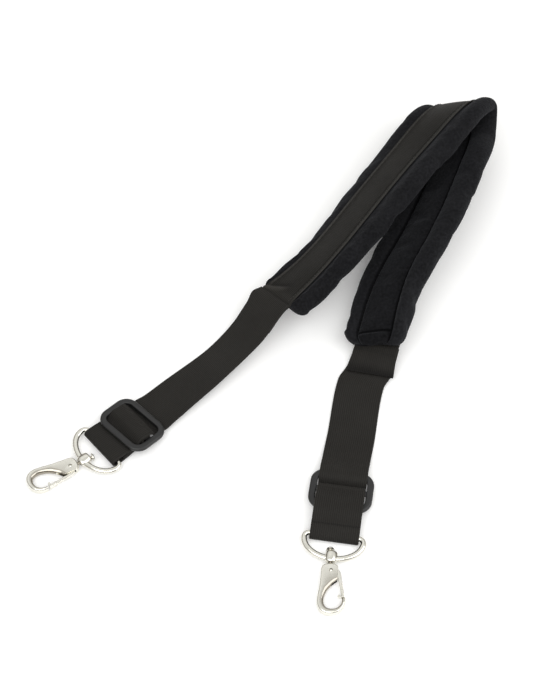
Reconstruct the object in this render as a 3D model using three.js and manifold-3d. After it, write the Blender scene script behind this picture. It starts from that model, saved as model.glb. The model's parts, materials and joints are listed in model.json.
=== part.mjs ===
// Bass drum strap: a padded shoulder band with an adjusting webbing, slider, ring and snap hook at each end.
// It lies folded in a hairpin on the floor. Millimetres, +Z up.
import * as THREE from 'three';
import { mergeVertices } from 'three/addons/utils/BufferGeometryUtils.js';
import Module from 'manifold-3d';

const wasm = await Module();
wasm.setup();

// ---- driving dimensions ----------------------------------------------------------------------

const GAP = 0.4;                  // between pieces that touch on the real strap
const WEB_WIDTH = 50;
const WEB_THICK = 1.8;
const RING_GAP = 0.6;             // between the ring's bar and the webbing folded round it
const LAYER = WEB_THICK + GAP;    // from one webbing layer to the next

const PAD_LENGTH = 706;
const PAD_WIDTH = 96;             // in its middle
const PAD_END_WIDTH = 73;
const PAD_TAPER = { from: 30, to: 190 };
const PAD_FOLD = { at: 612, reach: 45, squeeze: 0.3 };   // along the strap's line
const PAD_CORNER = 13;            // radius of the pad's corners, seen from its face
const SEAM = 20;                  // the two long seams, from the middle of the pad
const PAD_SHIFT = 7;              // the pad's middle from the middle of the strap's line
const PAD_WEB_PAST = 38;          // how far the pad's own webbing stands out past each end
const OVERLAP = 33;               // how far the adjusting webbing is sewn over it
const TAIL_END = 17;              // the adjusting webbing's sewn end, from the ring's bar

const SLIDER_WIDTH = 66;
const SLIDER_LENGTH = 47;
const SLIDER_THICK = 4.4;
const SLIDER_BAR = 6.5;
const SLIDER_MIDDLE = 6;

const WIRE = 2.7;                 // radius of the ring's wire
const RING_HALF = 30.2;           // to the middle of the wire
const RING_DEPTH = 26.7;
const RING_CORNER = 5.2;
const BOSS = { width: 12, height: 8, near: 19, far: 31 };
const FOLD = 6.3;                   // the webbing's fold stands this far past the ring's bar
const SWIVEL_PLAY = 12;           // degrees that the loose pin can lean in the boss

const HOOK_THICK = 7.6;
const HOOK_TOP = 1.2;             // gap between the boss and the hook's head
const RIVET = { x: -0.5, y: 10.5, radius: 1.6 };
const SLOT = 3.6;                 // slot in the hook's head for the gate
const PIN = { radius: 1.7, head: 4.2, headThick: 2.2, end: 6.2 };

// Heights out of the strap's outer face, from the middle of the pad's webbing.
const SLIDER_HEIGHT = WEB_THICK / 2 + GAP + SLIDER_THICK / 2;
const RING_HEIGHT = -(WEB_THICK / 2 + RING_GAP + WIRE);

// Middle of the pad's webbing, from the left ring's bar to the right ring's bar, and the line across the
// strap from its lower edge to its upper edge: the way it points, and its rise above the floor in degrees.
const STRAP_LINE = [
  // x, y, z, across, rise
  [-173, -128, 10, -49, 0],
  [-142, -102, 7.2, -49, 1],
  [-121, -84, 5, -49, 5],
  [-100, -64, 6, -49, 9],
  [-76, -42, 8, -48, 14],
  [-53, -20, 10.5, -46, 19],
  [-35, -1, 14, -43, 20],
  [-20, 14, 23, -42, 20],
  [-5, 31, 36, -42, 19],
  [20, 54, 44, -40, 25],
  [53, 90, 49, -39, 32],
  [102, 158, 56, -37, 34],
  [134, 203, 61, -35, 34],
  [166, 247, 65, -31, 32],
  [197, 289, 66, -23, 29],
  [220, 316, 44, -17, 28],
  [221, 288, 23.4, -17, 29],
  [212, 242, 26.5, -18, 32],
  [191, 180, 28, -19, 34],
  [162, 113, 28, -22, 33],
  [145, 80, 25.6, -23, 31],
  [130, 43, 21.6, -22, 28],
  [119, 5, 15.6, -17, 22],
  [107, -29, 5, -13, 6],
  [96, -67, 2.5, -13, 0],
  [84, -118, 2.5, -12, 0],
  [73, -182, 10.6, -9, 0],
  [65, -234, 1.2, -6, 0],
];

// How each end is threaded and lies: the slider's middle from the ring's bar, the ring's tilt about its bar,
// the hook's turn in the loose swivel, and which way the strap's outer face looks.
const ENDS = [
  { name: 'left', slider: 37, tilt: -4.3, turn: -12, outer: 1 },
  { name: 'right', slider: 52, tilt: 13.9, turn: 8, outer: -1 },
];

const BLACK_WEB = new THREE.MeshStandardMaterial({ color: 0x2d2b29, roughness: 0.85, metalness: 0 });
const BLACK_FELT = new THREE.MeshStandardMaterial({ color: 0x1e1f21, roughness: 0.95, metalness: 0 });
const GREY_PLASTIC = new THREE.MeshStandardMaterial({ color: 0x3a3a3b, roughness: 0.45, metalness: 0 });
const NICKEL = new THREE.MeshStandardMaterial({ color: 0xd9d4c8, roughness: 0.2, metalness: 1 });

// ---- the strap's line ------------------------------------------------------------------------

const radians = THREE.MathUtils.degToRad;

// Natural cubic spline through one column of values at rising knots.
function naturalSpline(knots, values) {
  const last = knots.length - 1;
  const bend = new Array(last + 1).fill(0);
  const work = new Array(last + 1).fill(0);
  for (let i = 1; i < last; i += 1) {
    const before = knots[i] - knots[i - 1];
    const after = knots[i + 1] - knots[i];
    const share = before / (before + after);
    const pivot = share * bend[i - 1] + 2;
    const jump = (values[i + 1] - values[i]) / after - (values[i] - values[i - 1]) / before;
    bend[i] = (share - 1) / pivot;
    work[i] = (6 * jump / (before + after) - share * work[i - 1]) / pivot;
  }
  for (let i = last - 1; i > 0; i -= 1) bend[i] = bend[i] * bend[i + 1] + work[i];
  bend[0] = 0;
  return (t) => {
    let i = 0;
    while (i < last - 1 && t > knots[i + 1]) i += 1;
    const step = knots[i + 1] - knots[i];
    const a = (knots[i + 1] - t) / step;
    const b = (t - knots[i]) / step;
    const curve = (a ** 3 - a) * bend[i] + (b ** 3 - b) * bend[i + 1];
    return a * values[i] + b * values[i + 1] + curve * step * step / 6;
  };
}

function column(index) {
  return STRAP_LINE.map((row) => row[index]);
}

const stationKnots = [0];
for (let i = 1; i < STRAP_LINE.length; i += 1) {
  const [a, b] = [STRAP_LINE[i - 1], STRAP_LINE[i]];
  stationKnots.push(stationKnots[i - 1] + Math.hypot(b[0] - a[0], b[1] - a[1], b[2] - a[2]));
}
const splines = [0, 1, 2, 3, 4].map((index) => naturalSpline(stationKnots, column(index)));

function linePoint(t) {
  return new THREE.Vector3(splines[0](t), splines[1](t), splines[2](t));
}

// Table of true length along the line, so that places on the strap are in millimetres of webbing.
const LINE_STEPS = 1200;
const lineEnd = stationKnots.at(-1);
const lengths = [0];
for (let i = 1; i <= LINE_STEPS; i += 1) {
  const a = linePoint(lineEnd * (i - 1) / LINE_STEPS);
  const b = linePoint(lineEnd * i / LINE_STEPS);
  lengths.push(lengths[i - 1] + a.distanceTo(b));
}
const STRAP_LENGTH = lengths.at(-1);

function knotAt(s) {
  let low = 0;
  let high = LINE_STEPS;
  while (high - low > 1) {
    const middle = (low + high) >> 1;
    if (lengths[middle] > s) high = middle;
    else low = middle;
  }
  return lineEnd * (low + (s - lengths[low]) / (lengths[high] - lengths[low])) / LINE_STEPS;
}

// Place on the strap's line and its three directions: along it, across it and out of its outer face.
function lineFrame(s) {
  const inside = THREE.MathUtils.clamp(s, 0, STRAP_LENGTH);
  const t = knotAt(inside);
  const step = 0.5;
  const along = linePoint(t + step).sub(linePoint(t - step)).normalize();
  const heading = radians(splines[3](t));
  const rise = radians(splines[4](t));
  const across = new THREE.Vector3(
    Math.cos(rise) * Math.cos(heading), Math.cos(rise) * Math.sin(heading), Math.sin(rise));
  across.addScaledVector(along, -across.dot(along)).normalize();
  const out = new THREE.Vector3().crossVectors(across, along);
  const origin = linePoint(t).addScaledVector(along, s - inside);
  return { origin, along, across, out };
}

// Place along the strap at a distance from one of the rings.
function placeFromRing(end, distance) {
  return end.outer > 0 ? distance : STRAP_LENGTH - distance;
}

// The same, with the strap held flat where it runs through a slider.
function frameAt(s) {
  const free = lineFrame(s);
  for (const end of ENDS) {
    const middle = placeFromRing(end, end.slider);
    const apart = Math.abs(s - middle);
    const held = 1 - THREE.MathUtils.smoothstep(apart, SLIDER_LENGTH / 2 + 2, SLIDER_LENGTH / 2 + 14);
    if (held > 0) {
      const flat = lineFrame(middle);
      free.origin.lerp(flat.origin.addScaledVector(flat.along, s - middle), held);
      free.along.lerp(flat.along, held).normalize();
      free.across.lerp(flat.across, held).normalize();
      free.out.crossVectors(free.across, free.along);
    }
  }
  return free;
}

function strapPoint(frame, across, out) {
  return frame.origin.clone().addScaledVector(frame.across, across).addScaledVector(frame.out, out);
}

// ---- solids ----------------------------------------------------------------------------------

// Closed solid from rings of points with the same count, capped at both ends or closed on itself.
function loft(rings, endOutline) {
  const count = rings[0].length;
  const positions = rings.flat().flatMap((p) => p.toArray());
  const index = [];
  for (let r = 0; r < rings.length - 1; r += 1) {
    for (let i = 0; i < count; i += 1) {
      const a = r * count + i;
      const b = r * count + (i + 1) % count;
      index.push(a, b, b + count, a, b + count, a + count);
    }
  }
  const last = (rings.length - 1) * count;
  const ends = endOutline ? THREE.ShapeUtils.triangulateShape(endOutline, []) : [];
  for (const face of ends) {
    const [a, b, c] = face.sort((p, q) => p - q);
    index.push(a, c, b, last + a, last + b, last + c);
  }
  const geometry = new THREE.BufferGeometry();
  geometry.setAttribute('position', new THREE.Float32BufferAttribute(positions, 3));
  geometry.setIndex(index);
  return facingOut(geometry);
}

// Turns a closed mesh's triangles over where they face in.
function facingOut(geometry) {
  const p = geometry.getAttribute('position');
  const index = geometry.getIndex().array;
  const [a, b, c] = [new THREE.Vector3(), new THREE.Vector3(), new THREE.Vector3()];
  let volume = 0;
  for (let i = 0; i < index.length; i += 3) {
    a.fromBufferAttribute(p, index[i]);
    b.fromBufferAttribute(p, index[i + 1]);
    c.fromBufferAttribute(p, index[i + 2]);
    volume += a.dot(b.cross(c));
  }
  if (volume < 0) {
    for (let i = 0; i < index.length; i += 3) [index[i], index[i + 1]] = [index[i + 1], index[i]];
  }
  geometry.computeVertexNormals();
  return geometry;
}

function solid(geometry) {
  const bare = geometry.clone();
  bare.deleteAttribute('normal');
  bare.deleteAttribute('uv');
  const merged = mergeVertices(bare, 1e-4);
  return new wasm.Manifold(new wasm.Mesh({
    numProp: 3,
    vertProperties: new Float32Array(merged.getAttribute('position').array),
    triVerts: new Uint32Array(merged.getIndex().array),
  }));
}

function geometryOf(manifold) {
  const mesh = manifold.getMesh();
  const geometry = new THREE.BufferGeometry();
  geometry.setAttribute('position', new THREE.Float32BufferAttribute(mesh.vertProperties, 3));
  geometry.setIndex(new THREE.Uint32BufferAttribute(mesh.triVerts, 1));
  geometry.computeVertexNormals();
  return geometry;
}

function extruded(shape, thick, bevel, curveSegments = 6) {
  const geometry = new THREE.ExtrudeGeometry(shape, {
    depth: thick - 2 * bevel,
    bevelEnabled: bevel > 0,
    bevelThickness: bevel,
    bevelSize: bevel,
    bevelOffset: -bevel,
    bevelSegments: 1,
    curveSegments,
  });
  return geometry.translate(0, 0, bevel - thick / 2);
}

// ---- webbing and pad -------------------------------------------------------------------------

// Places along the strap from one to another, closer together where it bends or twists.
function places(from, to) {
  const list = [from];
  while (list.at(-1) < to) {
    const here = list.at(-1);
    const frame = frameAt(here);
    let step = 24;
    while (step > 4 && (frame.along.angleTo(frameAt(here + step).along) > radians(14)
      || frame.across.angleTo(frameAt(here + step).across) > radians(5))) step -= 2;
    list.push(Math.min(here + step, to));
  }
  if (to - list.at(-2) < 2) list.splice(-2, 1);
  return list;
}

// Webbing along a path of [place along the strap, height out of its outer face], swept across its width.
function webbing(path) {
  const half = WEB_WIDTH / 2;
  const rings = path.map(([s, h], i) => {
    const [s0, h0] = path[Math.max(i - 1, 0)];
    const [s1, h1] = path[Math.min(i + 1, path.length - 1)];
    const run = Math.hypot(s1 - s0, h1 - h0);
    const ds = -(h1 - h0) / run * WEB_THICK / 2;
    const dh = (s1 - s0) / run * WEB_THICK / 2;
    const over = frameAt(s + ds);
    const under = frameAt(s - ds);
    return [
      ...[half, 0, -half].map((across) => strapPoint(over, across, h + dh)),
      ...[-half, 0, half].map((across) => strapPoint(under, across, h - dh)),
    ];
  });
  const ends = [[1, 1], [0, 1], [-1, 1], [-1, -1], [0, -1], [1, -1]].map(([x, y]) => new THREE.Vector2(x, y));
  return loft(rings, ends);
}

const PAD_START = (STRAP_LENGTH - PAD_LENGTH) / 2 + PAD_SHIFT;
const PAD_END = PAD_START + PAD_LENGTH;

// Places of the pad's sections: close together at its rounded ends.
const PAD_END_STEPS = [0, 1.2, 3.5, 7];
const PAD_PLACES = [
  ...PAD_END_STEPS.map((d) => PAD_START + d),
  ...places(PAD_START + PAD_CORNER, PAD_END - PAD_CORNER),
  ...PAD_END_STEPS.map((d) => PAD_END - d).reverse(),
];

function even(from, to, count) {
  return Array.from({ length: count + 1 }, (_, i) => from + (to - from) * i / count);
}

// The pad's own webbing steps down past each end of the pad, to lie under the adjusting webbing.
function padWebbing() {
  const past = [PAD_WEB_PAST, 31, 24, 17, 10, 5, 3.5, 2, 0.8];
  const along = [
    ...past.map((d) => PAD_START - d), ...PAD_PLACES, ...past.map((d) => PAD_END + d).reverse(),
  ];
  return webbing(along.map((s) => {
    const beyond = Math.max(PAD_START - s, s - PAD_END);
    return [s, -LAYER * THREE.MathUtils.smoothstep(beyond, -5, 4)];
  }));
}

// Route of an adjusting webbing, by its distance from the ring's bar and its height: from over the pad's
// webbing, through the slider over its middle bar, round the ring's bar and back round the middle bar.
function adjustingRoute(middle, joint) {
  const top = SLIDER_HEIGHT + SLIDER_THICK / 2 + GAP + WEB_THICK / 2;
  const over = top + LAYER + 0.1;
  const down = [[5.5, over - 0.9], [9, 5.2], [12.2, 1.2], [15.5, -0.3], [22, 0]];
  const points = [
    ...even(joint, joint - OVERLAP, 5).map((u) => [u, 0]),
    ...even(joint - OVERLAP - 12, middle + 30, 7).map((u) => [u, 0]),
    ...down.map(([u, h]) => [middle + u, h]).reverse(),
    [middle + 2, over], [middle - 2, over],
    ...down.map(([u, h]) => [middle - u, h]),
    [8, 0], [3, 0], [-1.8, -0.35], [0.9 - FOLD, -2.4],
    [0.9 - FOLD, 2 * RING_HEIGHT + 2.4], [-1.8, 2 * RING_HEIGHT + 0.35], [3, 2 * RING_HEIGHT],
    [8, 2 * RING_HEIGHT + 0.1], [14, -6.8], [20, -5],
    [middle - 15, -2 * LAYER], [middle - 10, -2 * LAYER], [middle - 5, -3], [middle, -0.3],
    [middle + 3.3, 0], [middle + 4.4, 1.6], [middle + 4.4, 5.4], [middle + 3.2, top], [middle, top + 0.1],
    [middle - 3.2, top], [middle - 4.4, 5.4], [middle - 4.6, 3], [middle - 5.6, 0.6],
    [middle - 8.4, -1.6], [middle - 13, -LAYER], [TAIL_END, -LAYER],
  ];
  const curve = new THREE.CatmullRomCurve3(points.map(([u, h]) => new THREE.Vector3(u, h, 0)), false);
  return curve.getPoints(2 * (points.length - 1)).map((p) => [p.x, p.y]);
}

function adjustingWebbing(end) {
  const joint = (end.outer > 0 ? PAD_START : STRAP_LENGTH - PAD_END) - PAD_WEB_PAST + OVERLAP;
  return webbing(adjustingRoute(end.slider, joint).map(([u, h]) => [placeFromRing(end, u), h]));
}

// Half of the pad's section, from the middle of its outer face round the stuffed roll to the middle of its
// lining: distance from the middle and height. The part beyond PANEL is stretched to the pad's width.
const PANEL = 26;
const ROLL = 14;
const PAD_SECTION = [
  [0, -1.3], [PANEL, -1.3], [PANEL + 1.5, 0.2], [PANEL + 5.5, 1.8], [PANEL + 10, 0.4], [PANEL + 13, -4.2],
  [PANEL + ROLL, -10], [PANEL + 13, -16], [PANEL + 9.4, -20.4], [PANEL + 4, -22], [PANEL - 2.5, -20],
  [SEAM, -15], [12, -17.6], [0, -18.3],
];
const PAD_MIDDLE = -7;            // height that the pad's ends are pressed flat towards

function shoulderPad() {
  const outline = [...PAD_SECTION, ...PAD_SECTION.slice(1, -1).reverse().map(([a, h]) => [-a, h])];
  const rings = PAD_PLACES.map((s) => {
    const inside = Math.min(s - PAD_START, PAD_END - s);
    const wide = THREE.MathUtils.smoothstep(inside, PAD_TAPER.from, PAD_TAPER.to);
    const half = THREE.MathUtils.lerp(PAD_END_WIDTH, PAD_WIDTH, wide) / 2;
    const near = Math.min(inside, PAD_CORNER);
    const cut = PAD_CORNER - Math.sqrt(PAD_CORNER ** 2 - (PAD_CORNER - near) ** 2);
    const thin = 0.35 + 0.65 * THREE.MathUtils.smoothstep(near, 0, PAD_CORNER);
    const full = 1 - PAD_FOLD.squeeze * Math.exp(-(((s - PAD_FOLD.at) / PAD_FOLD.reach) ** 2));
    const frame = frameAt(s);
    return outline.map(([a, h]) => {
      const roll = Math.max(Math.abs(a) - PANEL, 0) * (half - PANEL) / ROLL;
      const across = Math.sign(a) * (Math.min(Math.abs(a), PANEL) + roll) * (1 - cut / half);
      const height = PAD_SECTION[0][1] + (h - PAD_SECTION[0][1]) * full;
      return strapPoint(frame, across, PAD_MIDDLE + (height - PAD_MIDDLE) * thin);
    });
  });
  return loft(rings, outline.map(([a, h]) => new THREE.Vector2(a, h)));
}

// ---- hardware, each in its own place: x across the strap, y away from it, z up -----------------

function roundedRectangle(width, height, radius) {
  const [x, y] = [width / 2, height / 2];
  return new THREE.Shape()
    .moveTo(x, radius - y)
    .lineTo(x, y - radius).absarc(x - radius, y - radius, radius, 0, Math.PI / 2)
    .lineTo(radius - x, y).absarc(radius - x, y - radius, radius, Math.PI / 2, Math.PI)
    .lineTo(-x, radius - y).absarc(radius - x, radius - y, radius, Math.PI, 1.5 * Math.PI)
    .lineTo(x - radius, -y).absarc(x - radius, radius - y, radius, 1.5 * Math.PI, 2 * Math.PI);
}

function slider() {
  const shape = roundedRectangle(SLIDER_WIDTH, SLIDER_LENGTH, 11);
  const slot = (SLIDER_LENGTH - 2 * SLIDER_BAR - SLIDER_MIDDLE) / 2;
  for (const side of [-1, 1]) {
    const hole = roundedRectangle(WEB_WIDTH + 2, slot, 2).getPoints(2);
    const middle = side * (SLIDER_MIDDLE + slot) / 2;
    shape.holes.push(new THREE.Path(hole.map((p) => new THREE.Vector2(p.x, p.y + middle))));
  }
  return extruded(shape, SLIDER_THICK, 0.9, 5);
}

function ringWithBoss() {
  const bar = RING_HALF - RING_CORNER;
  const path = new THREE.Path()
    .moveTo(-bar, 0).lineTo(bar, 0)
    .absarc(bar, RING_CORNER, RING_CORNER, -Math.PI / 2, 0)
    .absellipse(0, RING_CORNER, RING_HALF, RING_DEPTH - RING_CORNER, 0, Math.PI)
    .absarc(-bar, RING_CORNER, RING_CORNER, Math.PI, 1.5 * Math.PI);
  const steps = 34;
  const rings = [];
  for (let i = 0; i < steps; i += 1) {
    const p = path.getPointAt(i / steps);
    const along = path.getTangentAt(i / steps);
    rings.push(Array.from({ length: 8 }, (_, k) => {
      const turn = 2 * Math.PI * (k + 0.5) / 8;
      const side = WIRE * Math.cos(turn);
      return new THREE.Vector3(p.x + along.y * side, p.y - along.x * side, WIRE * Math.sin(turn));
    }));
  }
  const boss = roundedRectangle(BOSS.width, BOSS.far - BOSS.near, 2.5);
  const block = extruded(boss, BOSS.height, 1.2, 3).translate(0, (BOSS.near + BOSS.far) / 2, 0);
  const mouth = PIN.radius + 0.4;
  const back = mouth + (BOSS.far - BOSS.near + 2) * Math.tan(radians(SWIVEL_PLAY));
  const bore = new THREE.Shape([
    new THREE.Vector2(-mouth, BOSS.far + 1), new THREE.Vector2(-mouth, BOSS.far - 1),
    new THREE.Vector2(-back, BOSS.near - 1), new THREE.Vector2(back, BOSS.near - 1),
    new THREE.Vector2(mouth, BOSS.far - 1), new THREE.Vector2(mouth, BOSS.far + 1),
  ]);
  return geometryOf(
    solid(loft([...rings, rings[0]], null)).add(solid(block)).subtract(solid(extruded(bore, 2 * mouth, 0))));
}

function turned(profile, sides) {
  return new THREE.LatheGeometry(profile.map(([r, y]) => new THREE.Vector2(r, y)), sides);
}

// The hook's own parts start at the swivel, at the outer end of the boss.
function swivelPin() {
  const under = BOSS.near - BOSS.far - 2.1;
  return turned([
    [0, under - PIN.headThick], [PIN.head - 1, under - PIN.headThick], [PIN.head, under - PIN.headThick + 1],
    [PIN.head, under], [PIN.radius, under], [PIN.radius, PIN.end], [0, PIN.end],
  ], 16);
}

function spline(shape, points) {
  return shape.splineThru(points.map(([x, y]) => new THREE.Vector2(x, y)));
}

// Pear-shaped casting with its broad limb on +x and its nose on -x; the gate closes between them.
function hookBody() {
  const shape = new THREE.Shape().moveTo(-6.9, 7);
  spline(shape, [[-8.2, 5.2], [-6.4, 2.4], [0, HOOK_TOP], [6.4, 2.2], [8.8, 5.5]]);
  spline(shape, [[10, 15], [11.4, 27], [13.6, 39.5], [13.9, 47], [11.6, 53.4], [6.6, 57.3], [0, 58.3],
    [-7, 56.6], [-12, 52], [-14.3, 46], [-14.5, 41.4]]);
  shape.lineTo(-11, 41.4);
  spline(shape, [[-10.4, 46.5], [-6.5, 51], [-0.6, 52.4], [4.5, 50.5], [7.2, 46], [6.8, 39.5],
    [3.5, 31.5], [-2.4, 24.5], [-6.9, 21]]);
  const casting = solid(extruded(shape, HOOK_THICK, 1.1, 2));
  const recess = [[-12, 7.2], [-0.5, 7.2], [2.9, 9], [2.9, 12.5], [0.5, 16], [-0.5, 30], [-12, 30]];
  const slot = new THREE.Shape(recess.map(([x, y]) => new THREE.Vector2(x, y)));
  const bore = [[0, 0], [PIN.radius + 0.3, 0], [PIN.radius + 0.3, PIN.end + 0.3], [0, PIN.end + 0.3]];
  const pinHole = turned(bore, 16);
  const rivetHole = pivot(RIVET.radius + 0.3, HOOK_THICK + 2);
  return geometryOf(casting.subtract(solid(extruded(slot, SLOT, 0)))
    .subtract(solid(pinHole)).subtract(solid(rivetHole)));
}

// Round bar on the gate's axis.
function pivot(radius, length) {
  return new THREE.CylinderGeometry(radius, radius, length, 14).rotateX(Math.PI / 2)
    .translate(RIVET.x, RIVET.y, 0);
}

function gateRivet() {
  return pivot(RIVET.radius, HOOK_THICK - 0.3);
}

// Straight gate with an arm to its rivet and a tip that curls in beside the nose.
function gate() {
  const plate = new THREE.Shape().moveTo(-2, 7.9);
  spline(plate, [[1.4, 8.4], [2.3, 10.5], [1.2, 12.8], [-1.2, 13.3]]);
  plate.lineTo(-5.6, 14.5);
  plate.lineTo(-7.4, 18);
  plate.lineTo(-10.4, 37);
  spline(plate, [[-9.6, 37.6], [-8.4, 36.6], [-7, 37.2], [-7, 38.7], [-8.8, 39.8]]);
  plate.lineTo(-13.8, 39.8);
  plate.lineTo(-10.2, 12);
  plate.lineTo(-8.2, 8.6);
  const cheek = [[-12.6, 31], [-9.5, 31], [-10.4, 37], [-10.4, 39.8], [-13.8, 39.8]];
  const bar = new THREE.Shape(cheek.map(([x, y]) => new THREE.Vector2(x, y)));
  return geometryOf(solid(extruded(plate, SLOT - 0.8, 0.4, 2)).add(solid(extruded(bar, 5, 0.6, 2)))
    .subtract(solid(pivot(RIVET.radius + 0.3, SLOT))));
}

// ---- assembly --------------------------------------------------------------------------------

function named(name, geometry, material) {
  const mesh = new THREE.Mesh(geometry, material);
  mesh.name = name;
  return mesh;
}

function placedAt(origin, x, y, z) {
  const group = new THREE.Group();
  new THREE.Matrix4().makeBasis(x, y, z).setPosition(origin)
    .decompose(group.position, group.quaternion, group.scale);
  return group;
}

const strap = new THREE.Group();
strap.add(named('shoulder_pad', shoulderPad(), BLACK_FELT));
strap.add(named('pad_webbing', padWebbing(), BLACK_WEB));

for (const end of ENDS) {
  strap.add(named(`${end.name}_webbing`, adjustingWebbing(end), BLACK_WEB));

  const grip = frameAt(placeFromRing(end, end.slider));
  const sliderPlace = placedAt(strapPoint(grip, 0, SLIDER_HEIGHT), grip.across, grip.along, grip.out);
  sliderPlace.add(named(`${end.name}_slider`, slider(), GREY_PLASTIC));
  strap.add(sliderPlace);

  const bar = frameAt(placeFromRing(end, 0));
  const ringPlace = placedAt(
    strapPoint(bar, 0, RING_HEIGHT), bar.across.clone().negate(),
    bar.along.clone().multiplyScalar(-end.outer), bar.out.clone().multiplyScalar(end.outer));
  const ring = new THREE.Group();
  ring.rotation.x = radians(end.tilt);
  ring.add(named(`${end.name}_ring`, ringWithBoss(), NICKEL));
  const hook = new THREE.Group();
  hook.position.y = BOSS.far;
  hook.rotation.z = radians(end.turn);
  hook.add(named(`${end.name}_swivel_pin`, swivelPin(), NICKEL));
  hook.add(named(`${end.name}_hook`, hookBody(), NICKEL));
  hook.add(named(`${end.name}_gate`, gate(), NICKEL));
  hook.add(named(`${end.name}_gate_rivet`, gateRivet(), NICKEL));
  ring.add(hook);
  ringPlace.add(ring);
  strap.add(ringPlace);
}

// The origin is on the floor, under the middle of the strap's box.
const box = new THREE.Box3().setFromObject(strap, true);
strap.position.set(-(box.min.x + box.max.x) / 2, -(box.min.y + box.max.y) / 2, -box.min.z);

export default strap;
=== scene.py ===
import json
import math

import bmesh
import bpy
from mathutils import Matrix, Vector, noise


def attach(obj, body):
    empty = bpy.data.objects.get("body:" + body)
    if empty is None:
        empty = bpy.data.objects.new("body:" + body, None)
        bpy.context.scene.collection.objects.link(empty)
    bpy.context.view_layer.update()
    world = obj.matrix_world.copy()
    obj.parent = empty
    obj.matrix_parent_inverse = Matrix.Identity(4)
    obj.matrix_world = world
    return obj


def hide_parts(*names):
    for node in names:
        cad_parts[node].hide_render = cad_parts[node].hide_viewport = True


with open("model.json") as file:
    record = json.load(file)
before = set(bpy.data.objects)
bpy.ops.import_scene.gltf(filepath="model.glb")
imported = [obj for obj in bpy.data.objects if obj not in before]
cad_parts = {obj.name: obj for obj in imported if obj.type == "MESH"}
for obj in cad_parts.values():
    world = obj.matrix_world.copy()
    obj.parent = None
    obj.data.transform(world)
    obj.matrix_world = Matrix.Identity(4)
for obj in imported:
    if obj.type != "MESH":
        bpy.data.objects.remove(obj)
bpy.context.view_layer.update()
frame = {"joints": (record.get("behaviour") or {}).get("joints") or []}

# ---- camera ----------------------------------------------------------------------------------
# It stands on the hooks' side and looks down over them towards the fold, with a long lens.
# It aims at the point that the strap's own measures start from, near the middle of the box.
STRAP_START = Vector((-0.004686, -0.001517, 0.000111))
CAMERA_HEIGHT = math.radians(54)
CAMERA_AWAY = 2.1
CAMERA_LENS = 99.9
camera = bpy.data.objects.new("camera", bpy.data.cameras.new("camera"))
camera.data.lens = CAMERA_LENS
camera.location = STRAP_START + CAMERA_AWAY * Vector((0, -math.cos(CAMERA_HEIGHT), math.sin(CAMERA_HEIGHT)))
camera.rotation_euler = (math.pi / 2 - CAMERA_HEIGHT, 0, 0)
bpy.context.collection.objects.link(camera)
bpy.context.scene.camera = camera

# ---- shoulder pad ----------------------------------------------------------------------------
# A long pad of black felt over soft stuffing, turned right side out and sewn through along its
# length and across its ends, so that a thick roll stands up on each side of the flat middle.

# Middle of the pad's webbing from the left ring to the right one, in millimetres, and the line across
# the strap: the way it points, and its rise above the floor in degrees.
STRAP_LINE = [
    # x, y, z, across, rise
    (-173, -128, 10, -49, 0),
    (-142, -102, 7.2, -49, 1),
    (-121, -84, 5, -49, 5),
    (-100, -64, 6, -49, 9),
    (-76, -42, 8, -48, 14),
    (-53, -20, 10.5, -46, 19),
    (-35, -1, 14, -43, 20),
    (-20, 14, 23, -42, 20),
    (-5, 31, 36, -42, 19),
    (20, 54, 44, -40, 25),
    (53, 90, 49, -39, 32),
    (102, 158, 56, -37, 34),
    (134, 203, 61, -35, 34),
    (166, 247, 65, -31, 32),
    (197, 289, 66, -23, 29),
    (220, 316, 44, -17, 28),
    (221, 288, 23.4, -17, 29),
    (212, 242, 26.5, -18, 32),
    (191, 180, 28, -19, 34),
    (162, 113, 28, -22, 33),
    (145, 80, 25.6, -23, 31),
    (130, 43, 21.6, -22, 28),
    (119, 5, 15.6, -17, 22),
    (107, -29, 5, -13, 6),
    (96, -67, 2.5, -13, 0),
    (84, -118, 2.5, -12, 0),
    (73, -182, 10.6, -9, 0),
    (65, -234, 1.2, -6, 0),
]
MM = 0.001


def natural_spline(knots, values):
    """A smooth curve through values at rising knots, straight at both ends."""
    last = len(knots) - 1
    bend = [0.0] * (last + 1)
    work = [0.0] * (last + 1)
    for i in range(1, last):
        before = knots[i] - knots[i - 1]
        after = knots[i + 1] - knots[i]
        share = before / (before + after)
        pivot = share * bend[i - 1] + 2
        jump = (values[i + 1] - values[i]) / after - (values[i] - values[i - 1]) / before
        bend[i] = (share - 1) / pivot
        work[i] = (6 * jump / (before + after) - share * work[i - 1]) / pivot
    for i in range(last - 1, 0, -1):
        bend[i] = bend[i] * bend[i + 1] + work[i]
    bend[0] = 0.0

    def curve(t):
        i = 0
        while i < last - 1 and t > knots[i + 1]:
            i += 1
        step = knots[i + 1] - knots[i]
        a = (knots[i + 1] - t) / step
        b = (t - knots[i]) / step
        lift = (a ** 3 - a) * bend[i] + (b ** 3 - b) * bend[i + 1]
        return a * values[i] + b * values[i + 1] + lift * step * step / 6

    return curve


station_knots = [0.0]
for here, there in zip(STRAP_LINE, STRAP_LINE[1:]):
    station_knots.append(station_knots[-1] + math.dist(here[:3], there[:3]))
line_x, line_y, line_z, line_heading, line_rise = (
    natural_spline(station_knots, [row[column] for row in STRAP_LINE]) for column in range(5))


def line_point(t):
    return Vector((line_x(t), line_y(t), line_z(t)))


LINE_STEPS = 1200
line_points = [line_point(station_knots[-1] * i / LINE_STEPS) for i in range(LINE_STEPS + 1)]
lengths = [0.0]
for here, there in zip(line_points, line_points[1:]):
    lengths.append(lengths[-1] + (there - here).length)
STRAP_LENGTH = lengths[-1]


def smoothstep(value, low, high):
    share = min(max((value - low) / (high - low), 0.0), 1.0)
    return share * share * (3 - 2 * share)


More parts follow.
